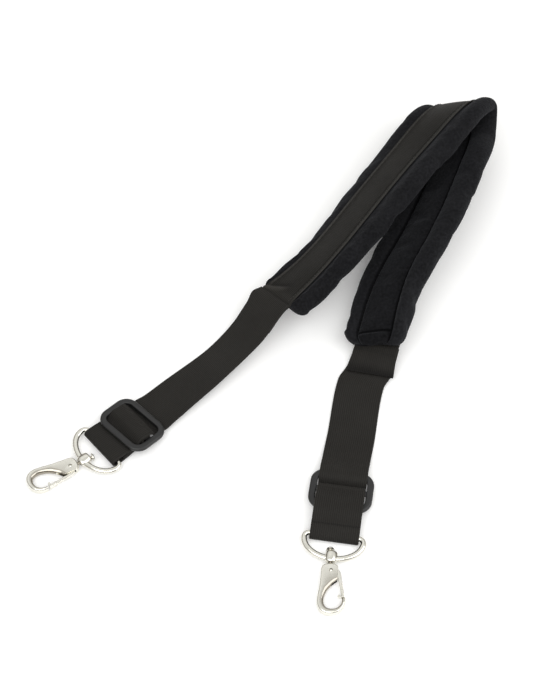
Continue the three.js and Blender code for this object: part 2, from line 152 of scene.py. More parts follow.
def line_frame(s):
    """Place s millimetres along the strap's line: point, along it, across it and out of its outer face."""
    inside = min(max(s, 0.0), STRAP_LENGTH)
    low, high = 0, LINE_STEPS
    while high - low > 1:
        middle = (low + high) // 2
        if lengths[middle] > inside:
            high = middle
        else:
            low = middle
    t = low + (inside - lengths[low]) / (lengths[high] - lengths[low])
    t *= station_knots[-1] / LINE_STEPS
    along = (line_point(t + 0.5) - line_point(t - 0.5)).normalized()
    heading, rise = math.radians(line_heading(t)), math.radians(line_rise(t))
    across = Vector((math.cos(rise) * math.cos(heading), math.cos(rise) * math.sin(heading), math.sin(rise)))
    across = (across - along * across.dot(along)).normalized()
    return line_point(t) + along * (s - inside), along, across, across.cross(along)


# The slider's middle from each ring's bar, and the way the strap's outer face looks at that end: up or down.
ENDS = {"left": (37, 1), "right": (52, -1)}
SLIDER_LENGTH = 47


def place_from_ring(side, distance):
    """Place along the strap's line, from a distance past one ring's bar."""
    return distance if ENDS[side][1] > 0 else STRAP_LENGTH - distance


def strap_frame(s):
    """The same, held flat where the strap runs through a slider."""
    point, along, across, out = line_frame(s)
    for side, (slider_place, _) in ENDS.items():
        middle = place_from_ring(side, slider_place)
        held = 1 - smoothstep(abs(s - middle), SLIDER_LENGTH / 2 + 2, SLIDER_LENGTH / 2 + 14)
        if held > 0:
            flat_point, flat_along, flat_across, _ = line_frame(middle)
            point = point.lerp(flat_point + flat_along * (s - middle), held)
            along = along.lerp(flat_along, held).normalized()
            across = across.lerp(flat_across, held).normalized()
            out = across.cross(along)
    return point, along, across, out


def strap_point(place, a, h):
    """A point of the part from a place on the strap, its distance across and its height, in millimetres."""
    point, along, across, out = place
    return STRAP_START + (point + across * a + out * h) * MM


def swept(name, sections, closed=False):
    """A skin drawn from section to section. A section is a list of (point, u, v), with u and v in metres.
    A fourth value goes into the skin's attribute mark, which the piece uses in its own way."""
    mesh = bmesh.new()
    order = mesh.verts.layers.int.new("order")
    u_layer = mesh.verts.layers.float.new("u")
    v_layer = mesh.verts.layers.float.new("v")
    mark_layer = mesh.verts.layers.float.new("mark")

    def lay(verts, section):
        for vert in verts:
            vert.co, vert[u_layer], vert[v_layer], *mark = section[vert[order]]
            vert[mark_layer] = mark[0] if mark else 0.0

    verts = [mesh.verts.new() for _ in sections[0]]
    for number, vert in enumerate(verts):
        vert[order] = number
    lay(verts, sections[0])
    edges = [mesh.edges.new((vert, verts[(number + 1) % len(verts)])) for number, vert in enumerate(verts)]
    first = edges
    for section in sections[1:]:
        made = bmesh.ops.extrude_edge_only(mesh, edges=edges)["geom"]
        verts = {item for item in made if isinstance(item, bmesh.types.BMVert)}
        edges = [item for item in made if isinstance(item, bmesh.types.BMEdge) and set(item.verts) <= verts]
        lay(verts, section)
    if closed:
        bmesh.ops.bridge_loops(mesh, edges=first + edges)
    else:
        bmesh.ops.holes_fill(mesh, edges=first + edges)
    bmesh.ops.remove_doubles(mesh, verts=mesh.verts, dist=1e-7)
    bmesh.ops.recalc_face_normals(mesh, faces=mesh.faces)
    uv_layer = mesh.loops.layers.uv.new("UVMap")
    for face in mesh.faces:
        face.smooth = True
        for loop in face.loops:
            loop[uv_layer].uv = (loop.vert[u_layer], loop.vert[v_layer])
    return piece_from(mesh, name)


def piece_from(mesh, name):
    data = bpy.data.meshes.new(name)
    mesh.to_mesh(data)
    mesh.free()
    piece = bpy.data.objects.new(name, data)
    bpy.context.collection.objects.link(piece)
    return piece


def apply_modifiers(piece):
    bpy.context.view_layer.update()
    shaped = piece.evaluated_get(bpy.context.evaluated_depsgraph_get())
    piece.data = bpy.data.meshes.new_from_object(shaped)
    piece.modifiers.clear()


PAD_LENGTH = 706
PAD_SHIFT = 7
PAD_START = (STRAP_LENGTH - PAD_LENGTH) / 2 + PAD_SHIFT
PAD_END = PAD_START + PAD_LENGTH
PAD_WIDTH = 96
PAD_END_WIDTH = 73
PAD_TAPER = (30, 190)
PAD_CORNER = 13
SEAM = 20
CROSS_SEAM = 10                   # the seam across the pad, from its end
PANEL = 26                        # half of the flat middle, beyond which the rolls start
ROLL = 14
PAD_FACE = -1.3                   # the pad's outer face, from the middle of its webbing's thickness
PAD_LEVEL = -7                    # height that its ends are pressed flat towards
END_ROUND = 9
END_THIN = 0.1
CROSS_DENT = 0.14                 # how much the seam across an end thins the pad
CORNER_REACH = 7                  # how far one corner of the right end reaches on
FOLD_AT, FOLD_REACH, FOLD_SQUEEZE = 612, 45, 0.3
BULGE_AT, BULGE_REACH, BULGE_RISE = 592, 34, 1.6     # the rolls stand higher over the webbing before the fold

# Half of the pad's section, from the middle of its outer face round the roll to the middle of its lining.
PAD_SECTION = [
    (0, -1.3), (10, -1.3), (SEAM - 1.6, -1.35), (SEAM, -1.6), (SEAM + 1.6, -1.35), (24.6, -1.3),
    (26.2, -0.9), (27.6, 0.3), (29.4, 1.3), (31.5, 1.8), (33.8, 1.5), (36, 0.4), (37.8, -1.6), (39.1, -4.2),
    (39.8, -7), (40, -10), (39.7, -13), (39, -16), (37.6, -18.6), (35.4, -20.6), (32.6, -21.8), (29.6, -22),
    (26.4, -21.2), (23.6, -19.4), (21.6, -17), (20.5, -14.8), (SEAM, -13.2), (19.4, -14.6), (17.6, -16.2),
    (14.5, -17.4), (10, -18.1), (5, -18.4), (0, -18.5),
]
ROUND_PAD = PAD_SECTION + [(-a, h) for a, h in reversed(PAD_SECTION[1:-1])]


def pad_end_distance(s):
    return min(s - PAD_START, PAD_END - s)


def drawn_in(s, a):
    """How far a roll draws in near the pad's ends, where the end seam pulls on it."""
    inside = pad_end_distance(s)
    if (s < STRAP_LENGTH / 2) == (a < 0):
        return 4 * smoothstep(-inside, -45, -8)
    return 1.9 * math.exp(-((inside - 15) / 4) ** 2) - 0.6 * math.exp(-((inside - 7) / 4) ** 2)


def end_skew(s, a):
    """How far a place near the right end is carried along: that end is closed a little askew."""
    return CORNER_REACH * smoothstep(s, PAD_END - 55, PAD_END - 6) * smoothstep(-a, -22, 24)


def fullness(s):
    """How thick the stuffing is: less where the pad folds."""
    return 1 - FOLD_SQUEEZE * math.exp(-((s - FOLD_AT) / FOLD_REACH) ** 2)


def pad_point(place, s, a, h):
    """A point of the pad's skin: the section spread to the pad's width, thinned at its ends and its fold."""
    inside = pad_end_distance(s)
    half = (PAD_END_WIDTH + (PAD_WIDTH - PAD_END_WIDTH) * smoothstep(inside, *PAD_TAPER)) / 2
    near = min(max(inside, 0.0), PAD_CORNER)
    cut = PAD_CORNER - math.sqrt(PAD_CORNER ** 2 - (PAD_CORNER - near) ** 2)
    beyond = max(abs(a) - PANEL, 0) * (half - PANEL) / ROLL
    wide = math.copysign(min(abs(a), PANEL) + beyond, a) * (1 - cut / half)
    wide -= math.copysign(drawn_in(s, a), a) * smoothstep(abs(a), PANEL, 36)
    high = PAD_FACE + (h - PAD_FACE) * fullness(s)
    edge = min(max(inside, 0.0), END_ROUND) / END_ROUND
    thin = END_THIN + (1 - END_THIN) * math.sqrt(1 - (1 - edge) ** 2)
    lining = smoothstep(-h, 6, 12)
    cross = math.exp(-((inside - CROSS_SEAM) / 2.2) ** 2) * smoothstep(SEAM + 1 - abs(a), 0, 3)
    thin *= 1 - CROSS_DENT * cross * lining
    high = PAD_LEVEL + (high - PAD_LEVEL) * thin
    bulge = BULGE_RISE * math.exp(-((s - BULGE_AT) / BULGE_REACH) ** 2)
    high += bulge * smoothstep(abs(a), PANEL, 31) * smoothstep(h, -10, -2)
    seam_near = math.exp(-abs(abs(a) - SEAM) / 5.0) * lining
    pucker = 0.5 * math.sin(s * 0.62 + 3 * noise.noise(Vector((s * 0.02, a, 3.1)))) * seam_near
    swell = 0.8 * noise.noise(Vector((s * 0.022, a * 0.05, h * 0.05))) * smoothstep(abs(a), 22, 30)
    swell += 0.9 * noise.noise(Vector((s * 0.03, a * 0.08, 9.0))) * lining
    wide += math.copysign(swell, a) * smoothstep(abs(a), 24, 32)
    return strap_point(place, wide, high + pucker - swell) + place[1] * end_skew(s, a) * MM


SEAM_DEPTH = 12.9
PAD_STEP = 4.2


def lining_seam(s):
    """Height of the lining at the bottom of its long seams."""
    return PAD_FACE - SEAM_DEPTH * fullness(s)


def pad_places():
    """Places along the pad: close together round its ends, even between them."""
    ends = [0, 0.4, 1.2, 2.4, 4, 6, 8, 9, 10, 11, 12.5, 15, 18]
    even_from = 22
    even_length = PAD_LENGTH - 2 * even_from
    count = round(even_length / PAD_STEP)
    middle = [PAD_START + even_from + even_length * i / count for i in range(count + 1)]
    return [PAD_START + d for d in ends] + middle + [PAD_END - d for d in reversed(ends)]


def held_by_seams(a, h, inside):
    """How firmly a place on the pad is held: by its seams, by the webbing over it and at its ends."""
    seam = math.exp(-((abs(a) - SEAM) / 1.2) ** 2)
    under_webbing = smoothstep(h, -6, -3) * smoothstep(PANEL + 2 - abs(a), 0, 4)
    end = smoothstep(CROSS_SEAM + 2 - inside, 0, 2)
    return min(max(seam, under_webbing, end), 1.0)


sections = []
for s in pad_places():
    place = strap_frame(s)
    sections.append([
        (pad_point(place, s, a, h), a * MM, s * MM, held_by_seams(a, h, pad_end_distance(s)))
        for a, h in ROUND_PAD])
pad = swept("padded_band", sections)

PUFF_FRAMES = 24
held = pad.vertex_groups.new(name="held")
for number, mark in enumerate(pad.data.attributes["mark"].data):
    held.add([number], mark.value, "REPLACE")
cloth = pad.modifiers.new("stuffing", "CLOTH")
cloth.point_cache.frame_start = 1
cloth.point_cache.frame_end = PUFF_FRAMES
fabric = cloth.settings
fabric.quality = 6
fabric.mass = 0.15
fabric.tension_stiffness = fabric.compression_stiffness = 8
fabric.shear_stiffness = 4
fabric.bending_stiffness = 0.3
fabric.use_pressure = True
fabric.uniform_pressure_force = 1.0
fabric.shrink_min = -0.014
fabric.vertex_group_mass = held.name
fabric.pin_stiffness = 8
fabric.effector_weights.gravity = 0
cloth.collision_settings.use_collision = False
cloth.collision_settings.use_self_collision = False
for step in range(1, PUFF_FRAMES + 1):
    bpy.context.scene.frame_set(step)
apply_modifiers(pad)
bpy.context.scene.frame_set(1)
smoother = pad.modifiers.new("smooth", "SUBSURF")
smoother.levels = smoother.render_levels = 1
apply_modifiers(pad)


class Socket:
    """A value in a material's nodes: arithmetic on it adds Math nodes."""

    def __init__(self, tree, out):
        self.tree = tree
        self.out = out

    def node(self, kind, settings, values, result=0):
        """Adds a node with its settings, then the values or links of its sockets."""
        made = self.tree.nodes.new(kind)
        for name, setting in settings.items():
            setattr(made, name, setting)
        for key, value in values.items():
            if isinstance(value, Socket):
                self.tree.links.new(value.out, made.inputs[key])
            else:
                made.inputs[key].default_value = value
        return Socket(self.tree, made.outputs[result])

    def math(self, operation, *values):
        return self.node("ShaderNodeMath", {"operation": operation}, dict(enumerate(values)))

    def __add__(self, other):
        return self.math("ADD", self, other)

    def __sub__(self, other):
        return self.math("SUBTRACT", self, other)

    def __rsub__(self, other):
        return self.math("SUBTRACT", other, self)

    def __mul__(self, other):
        return self.math("MULTIPLY", self, other)

    __radd__ = __add__
    __rmul__ = __mul__


def material(name, constants):
    """A material with its Principled shader's even values set: returns it, its shader and a first socket."""
    made = bpy.data.materials.new(name)
    made.use_nodes = True
    shader = made.node_tree.nodes["Principled BSDF"]
    for key, value in constants.items():
        shader.inputs[key].default_value = value
    return made, shader, Socket(made.node_tree, None)


def feed(shader, name, value):
    value.tree.links.new(value.out, shader.inputs[name])


def mixed(start, factor, low, high):
    """Colour from low to high as factor goes from 0 to 1. Low may be the colour of another node."""
    low = low if isinstance(low, Socket) else (*low, 1)
    return start.node("ShaderNodeMix", {"data_type": "RGBA"},
                      {"Factor": factor, "A": low, "B": (*high, 1)}, "Result")


def bumped(start, height, strength, distance):
    """The surface's direction under a pattern of small heights."""
    return start.node("ShaderNodeBump", {}, {"Strength": strength, "Distance": distance, "Height": height})


felt, shader, start = material("brushed_felt", {
    "Roughness": 0.95, "Specular IOR Level": 0.08, "Sheen Weight": 0.06, "Sheen Roughness": 0.5,
    "Sheen Tint": (0.75, 0.78, 0.85, 1)})
where = start.node("ShaderNodeTexCoord", {}, {}, "Object")
fuzz = start.node("ShaderNodeTexNoise", {}, {"Vector": where, "Scale": 1500.0, "Detail": 3.0}, "Fac")
clumps = start.node("ShaderNodeTexNoise", {}, {"Vector": where, "Scale": 330.0, "Detail": 4.0}, "Fac")
nap = start.node("ShaderNodeTexNoise", {}, {"Vector": where, "Scale": 26.0, "Detail": 2.0}, "Fac")
place_uv = start.node("ShaderNodeUVMap", {"uv_map": "UVMap"}, {})
split = start.node("ShaderNodeSeparateXYZ", {}, {"Vector": place_uv}, "X")
along_uv = Socket(split.tree, split.out.node.outputs["Y"])
from_middle = start.math("ABSOLUTE", split)
from_long = start.math("ABSOLUTE", from_middle - SEAM * MM)
from_end = start.math("ABSOLUTE", start.math("ABSOLUTE", along_uv - (PAD_START + PAD_END) / 2 * MM)
                      - (PAD_LENGTH / 2 - CROSS_SEAM) * MM)
past_long = start.math("MAXIMUM", from_middle - SEAM * MM, 0.0)
to_seam = start.math("MINIMUM", from_long, from_end + past_long)
# Painted shadow: the felt is coloured darker towards its seams, where shade falls in their grooves; the same
# mask also sinks the bump there.
seam_groove_shade = start.node("ShaderNodeMapRange", {"interpolation_type": "SMOOTHSTEP"}, {
    "Value": to_seam, "From Min": 0.0003, "From Max": 0.0022, "To Min": 0.0, "To Max": 1.0})
# Painted shade: the flat lining between the long seams is coloured a little darker and the rolls beyond them
# a little lighter, standing in for the shade the lining lies in.
lining_painted_shade = start.node("ShaderNodeMapRange", {}, {
    "Value": from_middle, "From Min": 0.0195, "From Max": 0.0215, "To Min": 0.9, "To Max": 1.04})
shade = (0.3 * fuzz + 0.5 * clumps + 0.2 * nap) * (0.15 + 0.85 * seam_groove_shade) * lining_painted_shade
spread = start.node("ShaderNodeMapRange", {}, {
    "Value": shade, "From Min": 0.3, "From Max": 0.7, "To Min": 0.0, "To Max": 1.0})
feed(shader, "Base Color", mixed(start, spread, (0.0014, 0.0014, 0.0017), (0.0150, 0.0151, 0.0170)))
height = 0.4 * fuzz + 1.2 * clumps + 1.5 * seam_groove_shade
feed(shader, "Normal", bumped(start, height, 0.8, 0.0008))
pad.data.materials.append(felt)
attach(pad, "strap")
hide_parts("shoulder_pad")

# ---- webbing on the pad ----------------------------------------------------------------------
# One length of flat ribbed webbing laid along the middle of the pad and sewn down by two rows of
# stitches, which pull it in a little. It stands out past both ends, under the adjusting webbings.
WEB_WIDTH = 50
WEB_THICK = 1.8
GAP = 0.4
LAYER = WEB_THICK + GAP
PAD_WEB_PAST = 38
OVERLAP = 33                      # how far the adjusting webbings are sewn over its ends
STEP_DOWN = (-5, 4)               # past the pad's end, where it dips under the adjusting webbing
CREASE_SLANT = 0.42
STUB_SHIFT = 2.3                  # its right end is sewn on a little askew
STUB_SHORT = 3                    # and is this much shorter along one edge
STUB_NARROW = 0.05                # its left end is drawn in under the adjusting webbing

# Half of the webbing's section, across its upper face and round its edge: distance across and the share
# of half its thickness.
WEB_SECTION = [
    (0, 1), (4, 1), (8, 1), (12, 1), (16, 1), (18.6, 1), (19.4, 1), (20, 1), (20.6, 1), (21.4, 1), (23.4, 1),
    (24.4, 0.94), (24.85, 0.6), (25, 0),
]
ROUND_WEB = WEB_SECTION + [(a, -h) for a, h in reversed(WEB_SECTION[:-1])]
ROUND_WEB += [(-a, h) for a, h in reversed(ROUND_WEB[1:-1])]


def sewn_height(s, a):
    """How the seams draw the webbing into the pad: one margin stands up, the other rolls over its seam."""
    inside = pad_end_distance(s)
    on_pad = smoothstep(inside, CROSS_SEAM - 6, CROSS_SEAM + 4)
    crown = 0.8 * (1 - min(abs(a) / SEAM, 1) ** 2)
    groove = -0.5 * math.exp(-((a - SEAM) / 0.9) ** 2)
    margin = 0.9 * smoothstep(a, SEAM, WEB_WIDTH / 2)
    ridge = 0.9 * math.exp(-((a + SEAM) / 1.7) ** 2)
    ripple = 0.18 * math.sin(s * 0.9) * math.exp(-abs(abs(a) - SEAM) / 2)
    sewn = on_pad * (crown + groove + margin + ridge + ripple)
    return sewn + twist_crease(s, a) - LAYER * smoothstep(-inside, *STEP_DOWN)


def twist_crease(s, a):
    """A slanting crease beside the left end of the pad, where the strap twists down to the floor."""
    inside = s - PAD_START
    from_crease = inside - CREASE_SLANT * (a + WEB_WIDTH / 2)
    raised = 1.7 * math.exp(-(from_crease / 2.6) ** 2) - 0.7 * math.exp(-((from_crease - 4.5) / 3) ** 2)
    return raised * smoothstep(inside, -3, 1) * smoothstep(-a, -10, 0)


def painted_webbing_light(s, a, h):
    """Painted light and shade on the sewn webbing: painted highlights on one seam's ridge, along its other
    edge and on the crease's ridge, with painted shade just past the crease; painted shade over the webbing's
    top on the pad and towards its stubs' ends.
    """
    inside = pad_end_distance(s)
    on_pad = smoothstep(inside, CROSS_SEAM - 6, CROSS_SEAM + 4) * (h > 0)
    # Painted highlights on one seam's ridge and along the other edge, and painted light and shade on the
    # crease.
    ridge = 0.9 * math.exp(-((a + SEAM + 0.2) / 1.1) ** 2)
    edge = 0.7 * smoothstep(a, 23.6, 24.6)
    crease = 0.3 * twist_crease(s, a)
    # Painted shade towards the cut end of each stub.
    painted_end_shade = 0.4 * smoothstep(-inside, PAD_WEB_PAST - 17, PAD_WEB_PAST)
    # Painted shade: the whole top of the webbing on the pad is coloured darker.
    return on_pad * (ridge + edge - 0.26) + crease - painted_end_shade


web_places = [PAD_START - PAD_WEB_PAST + (PAD_LENGTH + 2 * PAD_WEB_PAST) * i / 500 for i in range(501)]
sections = []
for s in web_places:
    place = strap_frame(s)
    askew = STUB_SHIFT * smoothstep(s, PAD_END + 5, PAD_END + PAD_WEB_PAST)
    narrow = 1 - STUB_NARROW * smoothstep(PAD_START - s, 1, 6)
    short = STUB_SHORT * smoothstep(s, PAD_END + PAD_WEB_PAST - 12, PAD_END + PAD_WEB_PAST)
    sections.append([
        (strap_point(place, a * narrow + askew, h * WEB_THICK / 2 + sewn_height(s, a))
         - place[1] * (short * (0.5 + a / WEB_WIDTH) * MM),
         a * MM, s * MM, painted_webbing_light(s, a, h))
        for a, h in ROUND_WEB])
pad_web = swept("sewn_webbing", sections)

webbing, shader, start = material("ribbed_webbing", {
    "Roughness": 0.72, "Specular IOR Level": 0.16, "Sheen Weight": 0.04, "Sheen Roughness": 0.4,
    "Sheen Tint": (1.0, 0.95, 0.88, 1)})
RIB = 0.0021                      # in metres, as the UV map is
YARN = 0.0012
place_uv = start.node("ShaderNodeUVMap", {"uv_map": "UVMap"}, {})
split = start.node("ShaderNodeSeparateXYZ", {}, {"Vector": place_uv}, "X")
along_uv = Socket(split.tree, split.out.node.outputs["Y"])
ribs = start.math("SINE", split * (2 * math.pi / RIB))
picks = start.math("SINE", along_uv * (2 * math.pi / YARN))
cross_ribs = start.math("SINE", split * (math.pi / RIB))
weave = 0.5 + 0.35 * ribs + 0.15 * (picks * cross_ribs)
where = start.node("ShaderNodeTexCoord", {}, {}, "Object")
lint = start.node("ShaderNodeTexNoise", {}, {"Vector": where, "Scale": 900.0, "Detail": 3.0}, "Fac")
wear = start.node("ShaderNodeTexNoise", {}, {"Vector": where, "Scale": 35.0, "Detail": 3.0}, "Fac")
# The webbing's edges are coloured lighter: partly worn, fuzzy yarn and partly a painted highlight where the
# edges catch the light.
selvedge = start.math("GREATER_THAN", start.math("ABSOLUTE", split), 0.0241)
# The mark attribute carries painted light and shade: highlights and shade on the sewn webbing and shade along
# the tail seam's row. The second mix turns the painted highlights paler.
painted_light_and_shade = start.node("ShaderNodeAttribute", {"attribute_name": "mark"}, {}, "Fac")
shade = 0.45 * weave + 0.3 * lint + 0.25 * wear + 0.12 * selvedge + painted_light_and_shade
yarn = mixed(start, shade, (0.0036, 0.0033, 0.0029), (0.0300, 0.0281, 0.0250))
feed(shader, "Base Color", mixed(start, painted_light_and_shade, yarn, (0.048, 0.046, 0.042)))
feed(shader, "Roughness", 0.62 + 0.2 * lint)
feed(shader, "Normal", bumped(start, weave + 0.3 * lint, 0.8, 0.0005))
pad_web.data.materials.append(webbing)
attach(pad_web, "strap")
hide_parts("pad_webbing")

# ---- adjusting webbings ----------------------------------------------------------------------
# At each end a second length of the same webbing is sewn over the first, runs through the slider,
# round the ring's bar and back round the slider's middle bar. Its tail lies between its own two
# layers and is sewn to the lower one near the ring.
TAIL_END = 8.2
TAIL_SEAM = 10.2                  # the row that sews the tail to the webbing under it
TAIL_SEAM_HEIGHT = -7.45          # where that row draws the webbing under it up to
FOLD = 6.3
SLIDER_THICK = 4.4
WIRE = 2.7
SLIDER_HEIGHT = WEB_THICK / 2 + GAP + SLIDER_THICK / 2
RING_HEIGHT = -(WEB_THICK / 2 + 0.6 + WIRE)
SLIDER_ASIDE = {"left": 0.9, "right": 0.0}     # how far each slider has slipped to one edge
WEB_ASIDE = {"left": 1.35, "right": 0.0}       # and how far it has pushed the webbing on its middle bar
BAR_NARROW = 0.02                 # how much the webbing is drawn in over the slider's middle bar


def even(low, high, count):
    """Values at even steps, with both ends."""
    return [low + (high - low) * i / count for i in range(count + 1)]


def through(points, steps):
    """Points on a smooth curve through the given ones, with short spans kept tight."""
    found = []
    for i in range(len(points) - 1):
        p1, p2 = Vector(points[i]), Vector(points[i + 1])
        p0 = Vector(points[i - 1]) if i else 2 * p1 - p2
        p3 = Vector(points[i + 2]) if i + 2 < len(points) else 2 * p2 - p1
        d0, d1, d2 = (max((b - a).length ** 0.5, 1e-4) for a, b in ((p0, p1), (p1, p2), (p2, p3)))
        t1 = ((p1 - p0) / d0 - (p2 - p0) / (d0 + d1) + (p2 - p1) / d1) * d1
        t2 = ((p2 - p1) / d1 - (p3 - p1) / (d1 + d2) + (p3 - p2) / d2) * d1
        for k in range(steps):
            t = k / steps
            found.append(p1 + t1 * t + (3 * (p2 - p1) - 2 * t1 - t2) * t ** 2
                         + (2 * (p1 - p2) + t1 + t2) * t ** 3)
    found.append(Vector(points[-1]))
    return found


def adjusting_route(middle, joint):
    """Distances from the ring's bar and heights out of the strap's outer face, from the joint to the tail."""
    top = SLIDER_HEIGHT + SLIDER_THICK / 2 + GAP + WEB_THICK / 2
    over = top + LAYER + 0.1
    down = [(5.5, over - 0.9), (9, 5.2), (12.2, 1.2), (15.5, -0.3), (22, 0)]
    back = 2 * RING_HEIGHT
    return [
        (joint + 3.8, 0.4), (joint + 2, 0.15), *[(u, 0) for u in even(joint, joint - OVERLAP, 5)],
        *[(u, 0) for u in even(joint - OVERLAP - 12, middle + 30, 7)],
        *[(middle + u, h) for u, h in reversed(down)],
        (middle + 2, over), (middle - 2, over),
        *[(middle - u, h) for u, h in down],
        (8, 0), (3, 0), (-1.8, -0.35), (0.9 - FOLD, -2.4),
        (0.9 - FOLD, back + 2.4), (-1.8, back + 0.35), (3, back),
        (8, back + 0.1), (TAIL_SEAM - 0.8, -7.9), (TAIL_SEAM, TAIL_SEAM_HEIGHT), (TAIL_SEAM + 0.8, -7.6),
        (14, -6.8), (20, -5),
        (middle - 15, -2 * LAYER), (middle - 10, -2 * LAYER), (middle - 5, -3), (middle, -0.3),
        (middle + 3.3, 0), (middle + 4.4, 1.6), (middle + 4.4, 5.4), (middle + 3.2, top), (middle, top + 0.1),
        (middle - 3.2, top), (middle - 4.4, 5.4), (middle - 4.6, 3), (middle - 5.6, 0.6),
        (middle - 8.4, -1.6), (middle - 13, -LAYER), (17, -2.4), (14, -3.4), (TAIL_SEAM, -5.2),
        (TAIL_END, -5.5),
    ]


JOINT_ASIDE = 4.6                 # the right webbing below its joint
JOINT_RISE = 1.8                  # the edge of the left one at its joint
JOINT_SPREAD = 0.13


def joint_shape(side, past, a):
    """Rise and place across the webbing near its joint: one twists up at its edge, the other is askew."""
    if side == "right":
        return 0, a - JOINT_ASIDE * smoothstep(past, 24, 44) * smoothstep(-past, -120, -44)
    near = math.exp(-((past - 6) / 8) ** 2)
    return JOINT_RISE * near * smoothstep(-a, 0, 24), a * (1 + JOINT_SPREAD * near) if a < 0 else a


for side, (slider_place, outer) in ENDS.items():
    joint = (PAD_START if outer > 0 else STRAP_LENGTH - PAD_END) - PAD_WEB_PAST + OVERLAP
    route = through([(u, h, 0) for u, h in adjusting_route(slider_place, joint)], 5)
    sections = []
    run = 0.0
    for i, spot in enumerate(route):
        before, after = route[max(i - 1, 0)], route[min(i + 1, len(route) - 1)]
        step = (after - before).normalized()
        run += (spot - route[max(i - 1, 0)]).length
        rows = {}
        section = []
        for a, h in ROUND_WEB:
            u = round(spot.x - step.y * h * WEB_THICK / 2, 4)
            high = spot.y + step.x * h * WEB_THICK / 2
            if u > slider_place + 25:
                bulge, across = joint_shape(side, joint - u, a)
            else:
                at_bar = math.exp(-((u - slider_place) / 8) ** 2)
                bulge, across = 0, a * (1 - BAR_NARROW * at_bar) + WEB_ASIDE[side] * at_bar
            if u not in rows:
                rows[u] = strap_frame(place_from_ring(side, u))
            # Painted shade along the tail seam's row, in the dent that it draws into the webbing under the
            # tail.
            drawn = -0.35 * math.exp(-((spot.x - TAIL_SEAM) / 0.9) ** 2) * (spot.y < -6)
            section.append((strap_point(rows[u], across, high + bulge), a * MM, run * MM, drawn))
        sections.append(section)
    band = swept(f"{side}_adjusting_webbing", sections)
    band.data.materials.append(webbing)
    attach(band, "strap")
    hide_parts(f"{side}_webbing")

# ---- stitching -------------------------------------------------------------------------------
# Rows of black polyester thread: the pad's two long seams and its end seams, which show on the
# webbing and on the lining, and the rows that hold each adjusting webbing's joint and tail.
STITCH = 3.2                      # from one stitch to the next
STITCH_LONG = 2.5
THREAD = 0.62


def join(pieces):
    """Puts the others' meshes into the first piece's."""
    mesh = bmesh.new()
    for piece in pieces:
        mesh.from_mesh(piece.data)
    for piece in pieces[1:]:
        bpy.data.objects.remove(piece)
    mesh.to_mesh(pieces[0].data)
    mesh.free()
    return pieces[0]


def add_stitch(mesh, place, a, h, across=False):
    """One stitch lying along the strap, or across it."""
    point, along, sideways, out = place
    long_way, other = (sideways, along) if across else (along, sideways)
    spot = STRAP_START + (point + sideways * a + out * h) * MM
    shape = Matrix((long_way * STITCH_LONG / 2, other * THREAD / 2, out * THREAD / 2)).transposed() * MM
    made = bmesh.ops.create_uvsphere(mesh, u_segments=6, v_segments=5, radius=1)["verts"]
    bmesh.ops.rotate(mesh, verts=made, matrix=Matrix.Rotation(math.pi / 2, 3, "Y"))
    bmesh.ops.transform(mesh, matrix=Matrix.Translation(spot) @ shape.to_4x4(), verts=made)


def row_along(low, high, a, height):
    mesh = bmesh.new()
    count = round((high - low) / STITCH)
    for i in range(count + 1):
        s = low + (high - low) * i / count
        add_stitch(mesh, strap_frame(s), a, height(s))
    return piece_from(mesh, "row")


def row_across(s, half, height, skew=None):
    mesh = bmesh.new()
    count = round(2 * half / STITCH)
    for i in range(count + 1):
        a = -half + 2 * half * i / count
        add_stitch(mesh, strap_frame(s + (skew(s, a) if skew else 0)), a, height(a), across=True)
    return piece_from(mesh, "row")


def web_top(s, a):
    """Height of the stitches on the sewn webbing."""
    return WEB_THICK / 2 + sewn_height(s, a) + 0.1


seam_rows, hidden_rows = [], []
for a in (-SEAM, SEAM):
    for part in range(4):
        low, high = (PAD_START + 3 + (PAD_LENGTH - 6) * share / 4 for share in (part, part + 1))
        seam_rows.append(row_along(low, high - STITCH, a, lambda s: web_top(s, a)))
        lining_end = PAD_END - CROSS_SEAM + end_skew(PAD_END, a)
        low, high = (PAD_START + CROSS_SEAM + (lining_end - PAD_START - CROSS_SEAM) * share / 4
                     for share in (part, part + 1))
        hidden_rows.append(row_along(low, high - STITCH, a, lining_seam))
for s in (PAD_START + CROSS_SEAM, PAD_END - CROSS_SEAM):
    hidden_rows.append(row_across(s, SEAM - 2, lambda a: -15.3 + 1.9 * (a / SEAM) ** 2, end_skew))
for side, (_, outer) in ENDS.items():
    joint = (PAD_START if outer > 0 else STRAP_LENGTH - PAD_END) - PAD_WEB_PAST
    under = -LAYER - WEB_THICK / 2 - 0.1
    for from_ring, height in ((joint + 4, under), (joint + OVERLAP - 5, under),
                              (TAIL_SEAM, TAIL_SEAM_HEIGHT - WEB_THICK / 2 - 0.1)):
        hidden_rows.append(row_across(place_from_ring(side, from_ring), WEB_WIDTH / 2 - 3, lambda a: height))
# The thread on the sewn webbing is coloured paler than the same black thread elsewhere: a painted glint of
# the shiny polyester.
for name, rows, colour in (("seam_stitching_painted_glint", seam_rows, (0.034, 0.033, 0.030, 1)),
                           ("lining_stitching", hidden_rows, (0.007, 0.0068, 0.0065, 1))):
    threads = join(rows)
    threads.name = name
    for face in threads.data.polygons:
        face.use_smooth = True
    thread, _, _ = material(name, {"Roughness": 0.5, "Specular IOR Level": 0.2, "Base Color": colour})
    threads.data.materials.append(thread)
    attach(threads, "strap")

